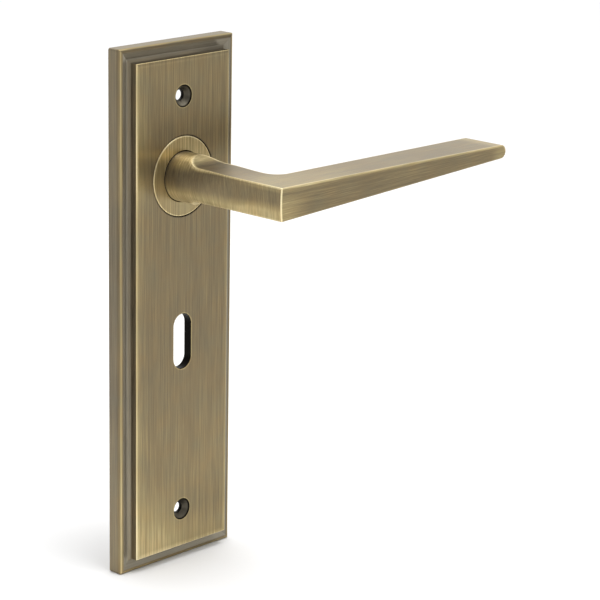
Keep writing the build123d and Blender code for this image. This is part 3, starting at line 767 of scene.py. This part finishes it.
def give(material, *names):
    """Sets this material on the named CAD nodes."""
    for name in names:
        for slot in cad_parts[name].material_slots:
            slot.material = material


# ---------------------------------------------------------------- return spring
WIRE_R, COIL_R, COIL_FRONT, COIL_BACK, COIL_TURN = 0.55, 14.9, 4.3, 1.45, 3 * pi
FIXED_LEG_END, MOVING_LEG_END, MOVING_LEG_X = 17.4, 11.0, -1.2
BEND_R = 1.1
COIL_STEPS, BEND_STEPS, WIRE_SIDES = 180, 8, 20
# the wire's ends narrow to this share over this many of its radii
END_SHARE, END_LENGTH = 0.75, 0.25


def spring_line():
    """The spring's centreline: a fixed leg, a bend, one and a half turns, a bend, the moving leg."""
    # each bend is tangent to its leg and to the coil, the first from outside and the second from inside
    outer_z = sqrt((COIL_R + BEND_R) ** 2 - BEND_R**2)
    start = atan2(BEND_R, outer_z)
    line = [(0, COIL_FRONT, FIXED_LEG_END), (0, COIL_FRONT, (FIXED_LEG_END + outer_z) / 2)]
    for step in range(BEND_STEPS):
        a = (pi / 2 - start) * step / BEND_STEPS
        line.append((BEND_R - BEND_R * cos(a), COIL_FRONT, outer_z - BEND_R * sin(a)))
    inner_x = MOVING_LEG_X + BEND_R
    inner_z = -sqrt((COIL_R - BEND_R) ** 2 - inner_x**2)
    past = atan2(-inner_x, -inner_z)
    for step in range(COIL_STEPS + 1):
        share = step / COIL_STEPS
        a = start + (COIL_TURN + past - start) * share
        line.append((COIL_R * sin(a), COIL_FRONT + (COIL_BACK - COIL_FRONT) * share, COIL_R * cos(a)))
    for step in range(1, BEND_STEPS + 1):
        a = (pi / 2 - past) * (1 - step / BEND_STEPS)
        line.append((inner_x - BEND_R * cos(a), COIL_BACK, inner_z - BEND_R * sin(a)))
    for z in ((inner_z - MOVING_LEG_END) / 2, -MOVING_LEG_END):
        line.append((MOVING_LEG_X, COIL_BACK, z))
    return [Vector((x, -depth, z)) * MM for x, depth, z in line]


def tube(name, line, radius, sides):
    """A closed round tube along a line, narrower at its very ends."""
    last = len(line) - 1
    tangents = [(line[min(i + 1, last)] - line[max(i - 1, 0)]).normalized() for i in range(last + 1)]
    inset = END_LENGTH * radius
    first_full, last_full = line[0] + tangents[0] * inset, line[-1] - tangents[-1] * inset
    points = [line[0], first_full, *line[1:-1], last_full, line[-1]]
    directions = [tangents[0], *tangents, tangents[-1]]
    radii = [END_SHARE * radius, *[radius] * len(line), END_SHARE * radius]
    made = bmesh.new()
    rings = []
    side = Vector((0, 1, 0))
    for point, tangent, ring_r in zip(points, directions, radii):
        side = (side - tangent * side.dot(tangent)).normalized()
        other = tangent.cross(side)
        ring = []
        for k in range(sides):
            a = 2 * pi * k / sides
            ring.append(made.verts.new(point + (side * cos(a) + other * sin(a)) * ring_r))
        rings.append(ring)
    for ring, following in zip(rings, rings[1:]):
        for k in range(sides):
            after = (k + 1) % sides
            made.faces.new((ring[k], ring[after], following[after], following[k]))
    made.faces.new(rings[0][::-1])
    made.faces.new(rings[-1])
    bmesh.ops.recalc_face_normals(made, faces=made.faces)
    mesh = bpy.data.meshes.new(name)
    made.to_mesh(mesh)
    made.free()
    # the flat ends stay flat
    for face in mesh.polygons:
        face.use_smooth = len(face.vertices) == 4
    piece = bpy.data.objects.new(name, mesh)
    bpy.context.scene.collection.objects.link(piece)
    return piece


def make_spring():
    piece = tube("return_spring_wire", spring_line(), WIRE_R * MM, WIRE_SIDES)
    piece.data.materials.append(drawn_wire())
    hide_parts("return_spring")
    # only the coil between the two legs twists
    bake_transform(piece)


# ---------------------------------------------------------------- all together
make_camera()
make_studio()
make_light("overhead", azimuth=20, elevation=78, distance=0.75, size=0.35, power=3)
give(plate_finish(), "face_plate")
give(ring_finish(), "bearing_ring")
give(lever_finish(), "lever_handle")
zinc_sheet = steel("zinc_plated_sheet", ZINC_PLATE, roughness=0.36, made="rolled")
give(zinc_sheet, "drive_plate", "housing_cover")
zinc_turning = steel("zinc_plated_turning", ZINC_PLATE, roughness=0.34, made="turned")
give(zinc_turning, "ring_nut", "retaining_washer")
give(screw_heads(), "cover_screws")
bright_bar = steel("bright_bar", BRIGHT_STEEL, roughness=0.34, made="drawn")
give(bright_bar, "spindle", "rest_stop_pin", "limit_stop_pin")
blued_steel = steel("blued_spring_steel", BLUED_STEEL, roughness=0.36, made="rolled")
give(blued_steel, "disc_spring", "lever_circlip")
give(cast_metal("zinc_casting_skin", ZINC_CASTING), "spring_housing")
natural_nylon = moulded("nylon_natural", NYLON, roughness=0.45, grain=0.4)
give(natural_nylon, "bearing_bush", "rear_washer")
# the thrust washer's edge is blackened with painted shade
give(moulded("nylon_painted_shade_edge", NYLON, roughness=0.45, grain=0.4, painted_edge_shade=True), "thrust_washer")
black_rubber = moulded("buffer_rubber_black", RUBBER, roughness=0.7, grain=0.3)
give(black_rubber, "rest_stop_buffer", "limit_stop_buffer")
make_spring()
